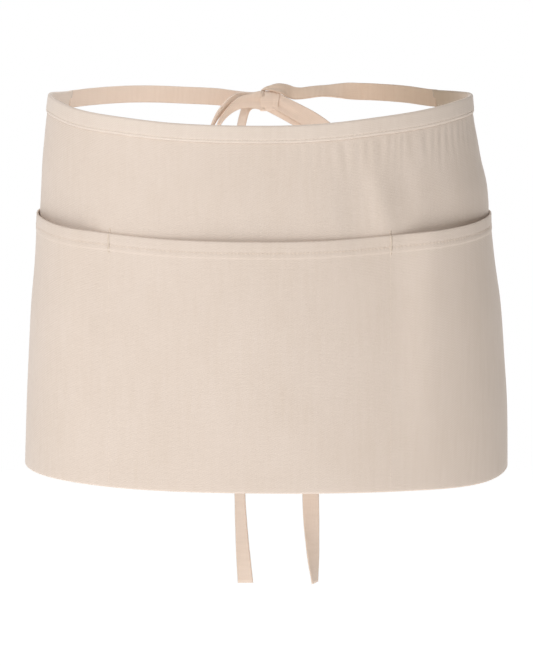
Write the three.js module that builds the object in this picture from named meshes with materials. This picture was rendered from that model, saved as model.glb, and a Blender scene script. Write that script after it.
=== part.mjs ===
// Waist apron with three front pockets, shaped as it is worn and tied at the back in a bow.
// Millimetres, +Z up, the front faces -Y and the wearer's left hand is at +X in a view from the front.
// The origin is the centre of the waist ring, at the height of its two sides.

import * as THREE from "three";

// Driving sizes
const apronWidth = 610; // panel laid flat, side edge to side edge
const apronShift = 8; // middle of the panel, to the right of the front line
const apronLength = 300; // top of the binding to the hem at the front
const waistHalfWidth = 176;
const waistHalfDepth = 118;
const waistDip = 16; // how far the top edge drops at the front, below its sides
const hemSweep = 8; // how far the hem rises at its sides
const squareness = 2.15; // 2 is an ellipse, more is boxier
const clothWall = 1.2;
const bindingWall = 1;
const tapeWall = 2; // tie tape, folded double and stitched
const tapeWidth = 14.5; // tie tape and binding
const clearance = 0.3; // between pieces that touch
const pocketDepth = 205; // mouth to hem
const pocketHem = 12.5; // double hem at the mouth
const pocketHemWall = 1.8;
const pocketTurnUp = 14; // pocket cloth turned up behind the hem
const leftDivider = -131; // round the front, from the front line
const rightDivider = 105;
const gatherPitch = 9;
const gatherDepth = 0.8;
const pocketBulge = 8; // how far the pockets' mouths stand open
const sideBulgePeak = 38; // round the front, from a divider to its side pocket's widest place
const leftBulgeEnd = 129; // from the divider to where the side pocket lies flat again
const rightBulgeEnd = 144;
const loopLength = 78; // bow loops, from the knot to their tips
const tieEndDrop = 418.6; // free ends of the ties, from the knot down
const knotLength = 17.8;
const knotHeight = 17.5;

// Colours of undyed cotton
const twillColour = 0xe2d5c6;
const tapeColour = 0xe0cfba;

// Outline in plan, from the top edge to the hem.
// Columns: share of the length, left and right halves of the width, front of the depth.
const outlineTable = [
  { down: 0, left: 1.015, right: 0.982, front: 1.01 },
  { down: 0.07, left: 1.032, right: 0.994, front: 1.018 },
  { down: 0.125, left: 1.042, right: 1.013, front: 1.028 },
  { down: 0.18, left: 1.051, right: 1.032, front: 1.04 },
  { down: 0.235, left: 1.056, right: 1.056, front: 1.052 },
  { down: 0.29, left: 1.061, right: 1.066, front: 1.064 },
  { down: 0.35, left: 1.067, right: 1.069, front: 1.076 },
  { down: 0.45, left: 1.078, right: 1.088, front: 1.096 },
  { down: 0.56, left: 1.097, right: 1.116, front: 1.12 },
  { down: 0.7, left: 1.111, right: 1.135, front: 1.144 },
  { down: 0.83, left: 1.122, right: 1.15, front: 1.162 },
  { down: 1, left: 1.132, right: 1.154, front: 1.175 },
];

// Height of the top edge all the way round. Columns: degrees from the front, share of the dip.
const waistTable = [
  { turn: -180, rise: -0.25 },
  { turn: -174, rise: -0.13 },
  { turn: -168, rise: 0.03 },
  { turn: -160, rise: 0.12 },
  { turn: -150, rise: 0.22 },
  { turn: -140, rise: 0.25 },
  { turn: -126, rise: 0.2 },
  { turn: -112, rise: 0.14 },
  { turn: -90, rise: 0.22 },
  { turn: -75, rise: 0.06 },
  { turn: -57, rise: -0.37 },
  { turn: -40, rise: -0.64 },
  { turn: -21, rise: -0.91 },
  { turn: 0, rise: -1 },
  { turn: 14, rise: -0.91 },
  { turn: 32, rise: -0.6 },
  { turn: 46, rise: -0.36 },
  { turn: 56, rise: -0.17 },
  { turn: 69, rise: 0.05 },
  { turn: 90, rise: 0.19 },
  { turn: 112, rise: 0.15 },
  { turn: 126, rise: 0.14 },
  { turn: 138, rise: 0.27 },
  { turn: 150, rise: 0.34 },
  { turn: 158, rise: 0.33 },
  { turn: 180, rise: 0.2 },
];

// Height of the hem above its front. Columns: degrees from the front, share of the sweep.
const hemTable = [
  { turn: -140, rise: 1.3 },
  { turn: -90, rise: 0.95 },
  { turn: -60, rise: 0.5 },
  { turn: -30, rise: 0.14 },
  { turn: 0, rise: 0 },
  { turn: 30, rise: -0.1 },
  { turn: 60, rise: -0.12 },
  { turn: 90, rise: 0.7 },
  { turn: 140, rise: 1.2 },
];

// Soft folds of the cloth. Columns: place across as a share of half the panel's width, first and last
// share of the length, half width and depth as shares of the tape's width, lean across over its run.
const foldTable = [
  { across: 0.345, from: 0.13, to: 0.34, wide: 0.42, deep: 0.1, lean: 0.03 },
  { across: 0.31, from: 0.15, to: 0.34, wide: 0.5, deep: -0.09, lean: 0.0 },
  { across: 0.33, from: 0.1, to: 0.36, wide: 1.2, deep: 0.1, lean: -0.26 },
  { across: 0.24, from: 0.14, to: 0.38, wide: 1.3, deep: -0.09, lean: -0.24 },
  { across: 0.52, from: 0.1, to: 0.36, wide: 1.1, deep: 0.08, lean: 0.05 },
  { across: -0.47, from: 0.22, to: 0.34, wide: 0.5, deep: 0.05, lean: 0.0 },
  { across: -0.1, from: 0.06, to: 0.3, wide: 2.2, deep: 0.05, lean: -0.06 },
];

// Strength of the gathers under the binding. Columns: share of half the panel's width, share of the depth.
const gatherTable = [
  { across: -1, strength: 0.1 },
  { across: -0.2, strength: 0.1 },
  { across: 0.05, strength: 0.35 },
  { across: 0.18, strength: 1 },
  { across: 0.7, strength: 1 },
  { across: 0.85, strength: 0.5 },
  { across: 1, strength: 0.3 },
];

// How the pockets stand open. Columns: place of each side of the bulge and of its peak, share of the bulge.
const pocketTable = [
  { from: leftDivider - leftBulgeEnd, peak: leftDivider - sideBulgePeak, to: leftDivider, open: 1 },
  { from: leftDivider, peak: (leftDivider + rightDivider) / 2, to: rightDivider, open: 0.88 },
  { from: rightDivider, peak: rightDivider + sideBulgePeak, to: rightDivider + rightBulgeEnd, open: 1 },
];

// Value of a table's column, smoothly between its rows
function fromTable(table, key, column, at) {
  const last = table.length - 1;
  let i = 0;
  while (i < last - 1 && at > table[i + 1][key]) i += 1;
  const [a, b] = [table[i], table[i + 1]];
  const span = b[key] - a[key];
  const t = THREE.MathUtils.clamp((at - a[key]) / span, 0, 1);
  const before = table[Math.max(i - 1, 0)];
  const after = table[Math.min(i + 2, last)];
  const slopeA = ((b[column] - before[column]) / (b[key] - before[key])) * span;
  const slopeB = ((after[column] - a[column]) / (after[key] - a[key])) * span;
  const t2 = t * t;
  const t3 = t2 * t;
  return (
    (2 * t3 - 3 * t2 + 1) * a[column] +
    (t3 - 2 * t2 + t) * slopeA +
    (3 * t2 - 2 * t3) * b[column] +
    (t3 - t2) * slopeB
  );
}

// Point of the outline at one level, by its turn from the front
function outlinePoint(turn, down) {
  const side = turn < 0 ? "left" : "right";
  const halfWidth = waistHalfWidth * fromTable(outlineTable, "down", side, down);
  const halfDepth = waistHalfDepth * fromTable(outlineTable, "down", "front", down);
  const power = 2 / squareness;
  const [s, c] = [Math.sin(turn), Math.cos(turn)];
  return new THREE.Vector2(
    halfWidth * Math.sign(s) * Math.abs(s) ** power,
    -halfDepth * Math.sign(c) * Math.abs(c) ** power,
  );
}

// Length of cloth round the outline, from the front line to each degree of turn
const levels = new Map();

function arcsAt(down) {
  const key = down.toFixed(6);
  if (levels.has(key)) return levels.get(key);
  const reach = 150;
  const arcs = new Array(2 * reach + 1).fill(0);
  for (const way of [-1, 1]) {
    let previous = outlinePoint(0, down);
    for (let degree = 1; degree <= reach; degree += 1) {
      const point = outlinePoint(THREE.MathUtils.degToRad(way * degree), down);
      const here = reach + way * degree;
      arcs[here] = arcs[here - way] + way * point.distanceTo(previous);
      previous = point;
    }
  }
  levels.set(key, arcs);
  return arcs;
}

function turnAt(arc, down) {
  const arcs = arcsAt(down);
  const reach = (arcs.length - 1) / 2;
  let i = 0;
  while (i < arcs.length - 2 && arcs[i + 1] < arc) i += 1;
  const share = (arc - arcs[i]) / (arcs[i + 1] - arcs[i]);
  return THREE.MathUtils.degToRad(i + share - reach);
}

function waistHeight(turn) {
  return waistDip * fromTable(waistTable, "turn", "rise", THREE.MathUtils.radToDeg(turn));
}

function hemHeight(turn) {
  const rise = hemSweep * fromTable(hemTable, "turn", "rise", THREE.MathUtils.radToDeg(turn));
  return waistHeight(0) - apronLength + rise;
}

// Point of the smooth body under the cloth
function bodyPoint(arc, down) {
  const turn = turnAt(arc, down);
  const flat = outlinePoint(turn, down);
  const height = THREE.MathUtils.lerp(waistHeight(turn), hemHeight(turn), down);
  return new THREE.Vector3(flat.x, flat.y, height);
}

// Outward direction of a surface that is given by a function of arc and length down
const probe = 0.5;

function outward(surface, arc, down) {
  const share = probe / apronLength;
  const right = surface(arc + probe, down).sub(surface(arc - probe, down));
  const below = surface(arc, down + share).sub(surface(arc, down - share));
  return below.cross(right).normalize();
}

const halfPanel = apronWidth / 2;
const panelLeft = apronShift - halfPanel;
const panelRight = apronShift + halfPanel;
const bindingShare = tapeWidth / apronLength;
const mouthShare = 1 - pocketDepth / apronLength;

function bump(t) {
  return Math.abs(t) >= 1 ? 0 : Math.cos((Math.PI / 2) * t) ** 2;
}

function rampUp(value, from, to) {
  return THREE.MathUtils.smoothstep(value, from, to);
}

// Puckers that the binding's seam puts into the cloth below it
function gatherRise(arc, down) {
  const across = (arc - apronShift) / halfPanel;
  const strength = gatherDepth * fromTable(gatherTable, "across", "strength", across);
  const below = (down - bindingShare) * apronLength;
  const run = gatherPitch * (3 + Math.sin(arc / (1.4 * gatherPitch)));
  const fade = rampUp(below, 0.5, 0.9 * gatherPitch) * (1 - rampUp(below, 0.4 * run, run));
  return strength * fade * Math.cos((2 * Math.PI * arc) / gatherPitch);
}

function foldRise(arc, down) {
  let rise = gatherRise(arc, down);
  for (const fold of foldTable) {
    const along = (down - fold.from) / (fold.to - fold.from);
    const middle = apronShift + (fold.across + fold.lean * along) * halfPanel;
    const width = fold.wide * tapeWidth;
    rise += fold.deep * tapeWidth * bump(2 * along - 1) * bump((arc - middle) / (2 * width));
  }
  return rise;
}

// Point of the cloth, standing off the body by its folds and by a further distance
function clothPoint(arc, down, stand = 0) {
  const lift = foldRise(arc, down) + stand;
  return bodyPoint(arc, down).addScaledVector(outward(bodyPoint, arc, down), lift);
}

// Places of the columns across the panel, closer together where it is gathered
function columns(parts) {
  const count = 56;
  const places = [];
  for (let i = 0; i < count; i += 1) {
    const left = THREE.MathUtils.lerp(panelLeft, panelRight, i / count);
    const right = THREE.MathUtils.lerp(panelLeft, panelRight, (i + 1) / count);
    const across = ((left + right) / 2 - apronShift) / halfPanel;
    const gathered = fromTable(gatherTable, "across", "strength", across) > 0.8;
    const steps = gathered ? parts : 1;
    for (let k = 0; k < steps; k += 1) places.push(THREE.MathUtils.lerp(left, right, k / steps));
  }
  places.push(panelRight);
  return places;
}

// One row of cloth: its points, their outward directions and the wall there
function clothRow(places, down, wall, stand = () => 0) {
  const surface = (arc, share) => clothPoint(arc, share, stand(arc, share));
  return places.map((at) => ({ at, wall, p: surface(at, down), n: outward(surface, at, down) }));
}

// A row turned about an edge of the panel: 0 is outside, 180 is inside, below or above the edge
function turnedRow(places, down, wall, radius, degrees, way) {
  const angle = THREE.MathUtils.degToRad(degrees);
  const up = new THREE.Vector3(0, 0, way);
  return places.map((at) => {
    const out = outward(clothPoint, at, down);
    const n = out.clone().multiplyScalar(Math.cos(angle)).addScaledVector(up, Math.sin(angle));
    const p = clothPoint(at, down).addScaledVector(n, radius);
    return { at, wall, p, n };
  });
}

// Closed solid from rows of points: the faces between rows, both sides of the wall and its rim
function shell(rows) {
  const points = rows.flat();
  const starts = [];
  let total = 0;
  for (const row of rows) {
    starts.push(total);
    total += row.length;
  }
  const faces = [];
  for (let r = 0; r < rows.length - 1; r += 1) {
    const [upper, lower] = [rows[r], rows[r + 1]];
    let [i, j] = [0, 0];
    while (i < upper.length - 1 || j < lower.length - 1) {
      const nextUpper = i < upper.length - 1 ? upper[i + 1].at : Infinity;
      const nextLower = j < lower.length - 1 ? lower[j + 1].at : Infinity;
      const [a, b] = [starts[r] + i, starts[r + 1] + j];
      if (nextLower <= nextUpper) {
        faces.push([a, b, b + 1]);
        j += 1;
      } else {
        faces.push([a, b, a + 1]);
        i += 1;
      }
    }
  }
  const edges = new Set(faces.flatMap(([a, b, c]) => [`${a} ${b}`, `${b} ${c}`, `${c} ${a}`]));
  const triangles = faces.flatMap(([a, b, c]) => [a, b, c, c + total, b + total, a + total]);
  for (const edge of edges) {
    const [a, b] = edge.split(" ").map(Number);
    if (edges.has(`${b} ${a}`)) continue;
    triangles.push(b, a, a + total, b, a + total, b + total);
  }
  const corners = [1, -1].flatMap((side) =>
    points.map(({ p, n, wall }) => p.clone().addScaledVector(n, (side * wall) / 2)),
  );
  const geometry = new THREE.BufferGeometry().setFromPoints(corners);
  geometry.setIndex(triangles);
  geometry.computeVertexNormals();
  return geometry;
}

function piece(name, geometry, colour) {
  const material = new THREE.MeshStandardMaterial({ color: colour, roughness: 0.9, metalness: 0 });
  const mesh = new THREE.Mesh(geometry, material);
  mesh.name = name;
  return mesh;
}

// Panel: starts inside the binding's fold and ends inside the pocket cloth's fold
const bindingRadius = clothWall / 2 + clearance + bindingWall / 2;
const hemRadius = clothWall + clearance;
const panelTop = (bindingRadius + bindingWall / 2) / apronLength;
const panelEnd = 1 - (hemRadius + clothWall / 2) / apronLength;

function apronPanel() {
  const gathered = [panelTop, bindingShare, 0.062, 0.08, 0.105, 0.135, 0.17];
  const plain = [0.215, 0.265, mouthShare, 0.38, 0.5, 0.65, 0.82, panelEnd];
  const rows = [
    ...gathered.map((down) => clothRow(columns(4), down, clothWall)),
    ...plain.map((down) => clothRow(columns(2), down, clothWall)),
  ];
  return piece("apron_panel", shell(rows), twillColour);
}

// Pocket: how far its cloth stands off the panel, seam to seam and from the mouth down
function pocketStand(arc, down) {
  const seat = clothWall / 2 + clearance + pocketHemWall / 2;
  const depth = THREE.MathUtils.clamp((down - mouthShare) / (panelEnd - mouthShare), 0, 1);
  let bulge = 0;
  for (const { from, peak, to, open } of pocketTable) {
    if (arc <= from || arc >= to) continue;
    const share = arc < peak ? (arc - from) / (peak - from) : (to - arc) / (to - peak);
    bulge = open * pocketBulge * Math.sin((Math.PI / 2) * share) ** 2;
  }
  const easing = THREE.MathUtils.lerp(seat, hemRadius, rampUp(depth, 0, 1));
  return easing + bulge * (1 - depth ** 1.5);
}

function pocketPanel() {
  const places = columns(1);
  const hemShare = mouthShare + pocketHem / apronLength;
  const step = 0.6 / apronLength;
  const rows = [
    clothRow(places, mouthShare, pocketHemWall, pocketStand),
    clothRow(places, hemShare, pocketHemWall, pocketStand),
    clothRow(places, hemShare + step, clothWall, pocketStand),
    ...[0.44, 0.54, 0.66, 0.78, 0.89, panelEnd].map((down) =>
      clothRow(places, down, clothWall, pocketStand),
    ),
    ...[60, 120].map((degrees) => turnedRow(places, panelEnd, clothWall, hemRadius, degrees, -1)),
    ...[0, pocketTurnUp].map((up) =>
      clothRow(places, panelEnd - up / apronLength, clothWall, () => -hemRadius).map((point) => ({
        ...point,
        n: point.n.negate(),
      })),
    ),
  ];
  return piece("pocket_panel", shell(rows), twillColour);
}

// Binding: tape folded over the panel's top edge
function waistBinding() {
  const places = columns(1);
  const leg = (side) =>
    [panelTop, bindingShare].map((down) =>
      clothRow(places, down, bindingWall, () => side * bindingRadius).map((point) => ({
        ...point,
        n: point.n.multiplyScalar(side),
      })),
    );
  const rows = [
    ...leg(-1).reverse(),
    ...[120, 60].map((degrees) => turnedRow(places, panelTop, bindingWall, bindingRadius, degrees, 1)),
    ...leg(1),
  ];
  return piece("waist_binding", shell(rows), tapeColour);
}

// Tape along a route of stations, each with its middle, the direction across and the share of the
// width that shows where the tape is bunched. A station at the knot's face has its row turned within
// the tape to lie in that face.
function tape(name, stations) {
  const last = stations.length - 1;
  const rows = stations.map(({ middle, across, wide = 1, atFace }, i) => {
    const before = stations[Math.max(i - 1, 0)].middle;
    const after = stations[Math.min(i + 1, last)].middle;
    const along = after.clone().sub(before).normalize();
    const side = across.clone().addScaledVector(along, -across.dot(along)).normalize();
    const n = along.clone().cross(side);
    if (atFace) side.addScaledVector(along, -side.x / along.x);
    return [-1, 1].map((at) => ({
      at,
      wall: tapeWall,
      p: middle.clone().addScaledVector(side, (at * wide * tapeWidth) / 2),
      n: n.clone(),
    }));
  });
  return piece(name, shell(rows), tapeColour);
}

// Stations of a smooth curve through hand-chosen rows of points, directions across and widths
function stationsThrough(rows, count) {
  const middles = new THREE.CatmullRomCurve3(rows.map(({ middle }) => middle));
  const acrosses = new THREE.CatmullRomCurve3(rows.map(({ across }) => across));
  const widths = rows.map(({ wide = 1 }, i) => ({ i, wide }));
  return Array.from({ length: count + 1 }, (_, i) => ({
    middle: middles.getPoint(i / count),
    across: acrosses.getPoint(i / count).normalize(),
    wide: fromTable(widths, "i", "wide", (i / count) * (rows.length - 1)),
  }));
}

// Station of a tie that goes on along the waist from the binding
const vertical = new THREE.Vector3(0, 0, 1);

function waistStation(turn) {
  const flat = outlinePoint(turn, 0);
  const middle = new THREE.Vector3(flat.x, flat.y, waistHeight(turn) - tapeWidth / 2);
  return { middle, across: vertical };
}

// Knot: the turn of tape round the bow's crossing, on the back of the waist ring
const layer = tapeWall + 2 * clearance; // from one layer of tape in the bow to the next
const ringBack = outlinePoint(Math.PI, 0).y;
const knot = new THREE.Vector3(5.4, ringBack, -0.74 * tapeWidth);
const knotDepth = 5 * layer;

// Middle of the knot's left (-1) or right (1) face, where tape comes out of it
function knotFace(side) {
  return new THREE.Vector3(side * (knotLength / 2 + clearance), 0, 0).add(knot);
}

// Stations with the first one moved to the knot's face, where the tape comes out of it
function fromKnot(side, stations) {
  const face = knotFace(side).x;
  const clear = stations.findIndex(({ middle }) => side * (middle.x - face) > tapeWidth / 3);
  const rest = stations.slice(Math.max(clear, 1));
  const start = stations[0].middle;
  const along = rest[0].middle.clone().sub(start);
  const middle = start.clone().addScaledVector(along, (face - start.x) / along.x);
  return [{ ...stations[0], middle, atFace: true }, ...rest];
}

function bowKnot() {
  const profile = [
    [0, -0.5],
    [0.9, -0.5],
    [1, -0.3],
    [1, 0.3],
    [0.9, 0.5],
    [0, 0.5],
  ].map(([radius, along]) => new THREE.Vector2(radius, along));
  const geometry = new THREE.LatheGeometry(profile, 20);
  geometry.rotateZ(-Math.PI / 2);
  geometry.scale(knotLength, knotDepth / 2, knotHeight / 2);
  geometry.translate(knot.x, knot.y, knot.z);
  return piece("bow_knot", geometry, tapeColour);
}

function leftTie() {
  const start = turnAt(panelLeft - clearance, 0);
  const straight = tapeWidth / 2; // the last stretch runs square into the knot
  const end = -Math.PI + Math.asin((straight - knotFace(-1).x) / waistHalfWidth);
  const steps = 24;
  const stations = [];
  for (let i = 0; i <= steps; i += 1) {
    stations.push(waistStation(THREE.MathUtils.lerp(start, end, i / steps)));
  }
  const { middle, across } = stations[steps];
  stations.push({ middle: new THREE.Vector3(knotFace(-1).x, middle.y, middle.z), across });
  return tape("tie_left", stations);
}

// Right tie near the bow: it twists, then arches over the top of the knot, where it is tucked in.
// Columns: place from the knot in tape widths, direction across, share of the width.
const rightTieEnd = [
  { x: 4.1, y: -0.55, z: 0.65, across: [0, 0.65, 0.76], wide: 1 },
  { x: 3.5, y: -0.4, z: 0.64, across: [0, 0.76, 0.65], wide: 1 },
  { x: 2.9, y: -0.26, z: 0.61, across: [0, 0.82, 0.57], wide: 1 },
  { x: 2.3, y: -0.12, z: 0.52, across: [0, 0.75, 0.66], wide: 0.92 },
  { x: 1.77, y: -0.03, z: 0.46, across: [0, 0.62, 0.78], wide: 0.8 },
  { x: 1.35, y: 0.02, z: 0.49, across: [0, 0.53, 0.85], wide: 0.8 },
  { x: 1.03, y: 0, z: 0.61, across: [0, 0.6, 0.8], wide: 0.86 },
  { x: 0.64, y: -0.06, z: 0.75, across: [0, 0.8, 0.6], wide: 0.92 },
  { x: 0.34, y: -0.04, z: 0.79, across: [0, 0.84, 0.55], wide: 0.86 },
  { x: 0, y: 0, z: 0.77, across: [0, 0.9, 0.44], wide: 0.7 },
  { x: -0.28, y: 0.03, z: 0.72, across: [0, 0.95, 0.3], wide: 0.5 },
];

function rightTie() {
  const start = turnAt(panelRight + clearance, 0);
  const turned = THREE.MathUtils.degToRad(153);
  const steps = 12;
  const rows = [];
  for (let i = 0; i <= steps; i += 1) {
    rows.push(waistStation(THREE.MathUtils.lerp(start, turned, i / steps)));
  }
  for (const { x, y, z, across, wide } of rightTieEnd) {
    const middle = new THREE.Vector3(x, y, z).multiplyScalar(tapeWidth).add(knot);
    rows.push({ middle, across: new THREE.Vector3(...across), wide });
  }
  return tape("tie_right", stationsThrough(rows, 40));
}

// Bow loops, on the wearer's side of the ties. Columns: place from the knot's face across and up as
// shares of the loop's length, and in layers towards the back, direction across, opening as a share of
// the length, how far the back strand lies aside in tape widths, share of the width that shows.
const leftLoop = [
  { x: 0, y: -1.6, z: 0.012, across: [0, 0, -1], open: 0, slip: 0, wide: 0.8 },
  { x: -0.1, y: -1.85, z: 0.015, across: [0, 0, -1], open: 0, slip: -0.06, wide: 0.85 },
  { x: -0.2, y: -2.4, z: -0.005, across: [0.1, 0.15, -1], open: 0, slip: -0.16, wide: 0.95 },
  { x: -0.285, y: -2.9, z: -0.045, across: [0.1, 0.5, -0.8], open: 0, slip: -0.24, wide: 1 },
  { x: -0.365, y: -3.4, z: -0.105, across: [0.1, 0.75, -0.55], open: 0.005, slip: -0.28, wide: 1 },
  { x: -0.435, y: -3.6, z: -0.185, across: [0.1, 0.9, -0.35], open: 0.01, slip: -0.28, wide: 1 },
  { x: -0.495, y: -3.6, z: -0.3, across: [0.1, 1, -0.15], open: 0.03, slip: -0.24, wide: 1 },
  { x: -0.53, y: -3.5, z: -0.45, across: [0.1, 1, 0], open: 0.09, slip: -0.15, wide: 1 },
  { x: -0.54, y: -3.4, z: -0.6, across: [0.1, 1, 0], open: 0.15, slip: -0.06, wide: 1 },
  { x: -0.53, y: -3.3, z: -0.73, across: [0.1, 1, 0], open: 0.13, slip: 0, wide: 1 },
  { x: -0.515, y: -3.2, z: -0.83, across: [0.1, 1, 0], open: 0, slip: 0, wide: 1 },
];

const rightLoop = [
  { x: 0.06, y: -1.5, z: -0.065, across: [0.5, 0, 0.86], open: 0, slip: -0.32, wide: 0.78 },
  { x: 0.19, y: -1.55, z: -0.14, across: [0.5, 0, 0.86], open: 0, slip: -0.31, wide: 0.92 },
  { x: 0.31, y: -1.6, z: -0.205, across: [0.51, 0, 0.86], open: 0, slip: -0.29, wide: 1 },
  { x: 0.43, y: -1.8, z: -0.275, across: [0.53, -0.05, 0.84], open: 0.015, slip: -0.27, wide: 1 },
  { x: 0.55, y: -2.1, z: -0.355, across: [0.62, -0.2, 0.75], open: 0.045, slip: -0.25, wide: 1 },
  { x: 0.64, y: -2.4, z: -0.465, across: [0.72, -0.45, 0.5], open: 0.09, slip: -0.22, wide: 1 },
  { x: 0.69, y: -2.6, z: -0.6, across: [0.7, -0.65, 0.28], open: 0.14, slip: -0.18, wide: 1 },
  { x: 0.705, y: -2.7, z: -0.75, across: [0.65, -0.75, 0.1], open: 0.16, slip: -0.12, wide: 1 },
  { x: 0.705, y: -2.7, z: -0.88, across: [0.62, -0.78, 0], open: 0.13, slip: -0.06, wide: 1 },
  { x: 0.7, y: -2.7, z: -0.97, across: [0.6, -0.8, 0], open: 0, slip: 0, wide: 1 },
];

function bowLoop(name, side, table) {
  const rows = table.map(({ x, y, z, across }) => ({
    middle: new THREE.Vector3(x * loopLength, y * layer, z * loopLength).add(knotFace(side)),
    across: new THREE.Vector3(...across),
  }));
  const middles = new THREE.CatmullRomCurve3(rows.map(({ middle }) => middle));
  const acrosses = new THREE.CatmullRomCurve3(rows.map(({ across }) => across));
  const shares = table.map(({ open, slip, wide }, i) => ({ i, open, slip, wide }));
  const steps = 20;
  // Strand on one side of the loop's middle line: 1 is the front strand and -1 the back one
  const strand = (face) =>
    Array.from({ length: steps }, (_, i) => {
      const t = Math.sin((Math.PI / 2) * (i / steps)) * 0.999;
      const along = middles.getTangent(t);
      const across = acrosses.getPoint(t).normalize();
      across.addScaledVector(along, -across.dot(along)).normalize();
      const out = along.clone().cross(across);
      const row = t * (table.length - 1);
      const open = fromTable(shares, "i", "open", row) * loopLength;
      const shut = t > 0.9 ? Math.sqrt(Math.max(0, 1 - ((t - 0.9) / 0.1) ** 2)) : 1;
      const aside = face < 0 ? fromTable(shares, "i", "slip", row) * tapeWidth : 0;
      const middle = middles.getPoint(t);
      middle.addScaledVector(out, (face * (layer * shut + open)) / 2);
      middle.addScaledVector(across, aside);
      return { middle, across, wide: fromTable(shares, "i", "wide", row) };
    });
  const tip = { middle: middles.getPoint(1), across: acrosses.getPoint(1).normalize() };
  const [front, back] = [fromKnot(side, strand(1)), fromKnot(side, strand(-1))];
  return tape(name, [...front, tip, ...back.reverse()]);
}

// Free ends of the ties. Columns: place from the knot's face across in tape widths, back in layers and
// down as a share of the drop, direction across, share of the width.
const leftEnd = [
  { x: 0, y: 1.04, z: 0, across: [-0.05, 0, 1], wide: 0.7 },
  { x: -0.36, y: 1.1, z: 0.001, across: [-0.1, 0.1, 1], wide: 0.75 },
  { x: -0.6, y: 1.75, z: 0.006, across: [-0.2, 0.35, 0.9], wide: 0.8 },
  { x: -0.8, y: 2.65, z: 0.016, across: [-0.3, 0.7, 0.65], wide: 0.85 },
  { x: -0.96, y: 2.75, z: 0.032, across: [-0.38, 0.87, 0.3], wide: 0.95 },
  { x: -1.09, y: 2.45, z: 0.053, across: [-0.42, 0.9, 0.1], wide: 1 },
  { x: -1.16, y: 2.15, z: 0.086, across: [-0.41, 0.91, 0], wide: 1 },
  { x: -1.19, y: 2.15, z: 0.167, across: [-0.41, 0.91, 0], wide: 1 },
  { x: -1.21, y: 2.08, z: 0.31, across: [-0.43, 0.9, 0], wide: 1 },
  { x: -1.22, y: 2, z: 0.48, across: [-0.48, 0.88, 0], wide: 1 },
  { x: -1.21, y: 1.92, z: 0.657, across: [-0.53, 0.85, 0], wide: 1 },
  { x: -1.17, y: 1.92, z: 0.827, across: [-0.6, 0.8, 0], wide: 1 },
  { x: -1.03, y: 1.92, z: 0.92, across: [-0.75, 0.66, 0], wide: 1 },
  { x: -0.85, y: 1.92, z: 1, across: [-0.9, 0.43, 0], wide: 1 },
];

const rightEnd = [
  { x: 0, y: 1.04, z: 0.004, across: [0.3, 0, 0.95], wide: 0.75 },
  { x: 0.36, y: 1.08, z: 0.01, across: [0.45, 0, 0.9], wide: 0.8 },
  { x: 0.73, y: 1.15, z: 0.023, across: [0.58, 0, 0.8], wide: 0.85 },
  { x: 1.26, y: 1.3, z: 0.046, across: [0.75, 0.05, 0.6], wide: 0.95 },
  { x: 1.61, y: 1.54, z: 0.074, across: [0.92, 0.08, 0.3], wide: 1 },
  { x: 1.77, y: 1.77, z: 0.112, across: [1, 0.08, 0.08], wide: 1 },
  { x: 1.82, y: 1.92, z: 0.189, across: [1, 0.05, 0], wide: 1 },
  { x: 1.85, y: 1.92, z: 0.332, across: [1, 0.02, 0], wide: 1 },
  { x: 1.85, y: 1.92, z: 0.502, across: [1, 0.02, 0], wide: 1 },
  { x: 1.82, y: 1.92, z: 0.669, across: [1, 0.08, 0], wide: 1 },
  { x: 1.78, y: 1.92, z: 0.827, across: [0.98, 0.2, 0], wide: 1 },
  { x: 1.9, y: 1.92, z: 0.925, across: [0.75, 0.66, 0], wide: 1 },
  { x: 2.04, y: 1.92, z: 1, across: [0.34, 0.94, 0], wide: 1 },
];

function tieEnd(name, side, table) {
  const rows = table.map(({ x, y, z, across, wide }) => ({
    middle: new THREE.Vector3(x * tapeWidth, y * layer, -z * tieEndDrop).add(knotFace(side)),
    across: new THREE.Vector3(...across),
    wide,
  }));
  return tape(name, fromKnot(side, stationsThrough(rows, 40)));
}

const apron = new THREE.Group();
apron.add(
  apronPanel(),
  pocketPanel(),
  waistBinding(),
  leftTie(),
  rightTie(),
  bowKnot(),
  bowLoop("bow_loop_left", -1, leftLoop),
  bowLoop("bow_loop_right", 1, rightLoop),
  tieEnd("tie_end_left", -1, leftEnd),
  tieEnd("tie_end_right", 1, rightEnd),
);

export default apron;
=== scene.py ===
import math
from bisect import bisect_right

import bmesh
import bpy
from bpy.props import FloatProperty, FloatVectorProperty, IntProperty, PointerProperty
from mathutils import Matrix, Vector, noise


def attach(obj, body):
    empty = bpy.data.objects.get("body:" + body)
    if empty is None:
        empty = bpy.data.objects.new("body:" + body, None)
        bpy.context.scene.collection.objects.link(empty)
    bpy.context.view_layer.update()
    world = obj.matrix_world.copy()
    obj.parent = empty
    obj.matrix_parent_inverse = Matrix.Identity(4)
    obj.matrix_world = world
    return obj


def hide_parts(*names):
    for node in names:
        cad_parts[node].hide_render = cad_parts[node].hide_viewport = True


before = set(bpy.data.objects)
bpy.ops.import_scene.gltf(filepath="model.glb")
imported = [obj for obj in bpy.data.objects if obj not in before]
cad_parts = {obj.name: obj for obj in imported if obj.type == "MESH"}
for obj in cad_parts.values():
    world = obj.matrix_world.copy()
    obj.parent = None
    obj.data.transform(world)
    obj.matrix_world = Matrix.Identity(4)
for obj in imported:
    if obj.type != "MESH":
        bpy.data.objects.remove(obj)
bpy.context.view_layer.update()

bl_info = {
    "name": "Waist apron",
    "version": (1, 0, 0),
    "blender": (4, 5, 0),
    "location": "3D View > Sidebar > Apron",
    "description": "Builds a cotton waist apron with three pockets, as it is worn and tied",
    "category": "Object",
}

MM = 0.001
UP = Vector((0, 0, 1))


def linear(code):
    """Linear RGB of an sRGB hex value."""
    values = [int(code[i:i + 2], 16) / 255 for i in (1, 3, 5)]
    return [v / 12.92 if v <= 0.04045 else ((v + 0.055) / 1.055) ** 2.4 for v in values]


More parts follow.
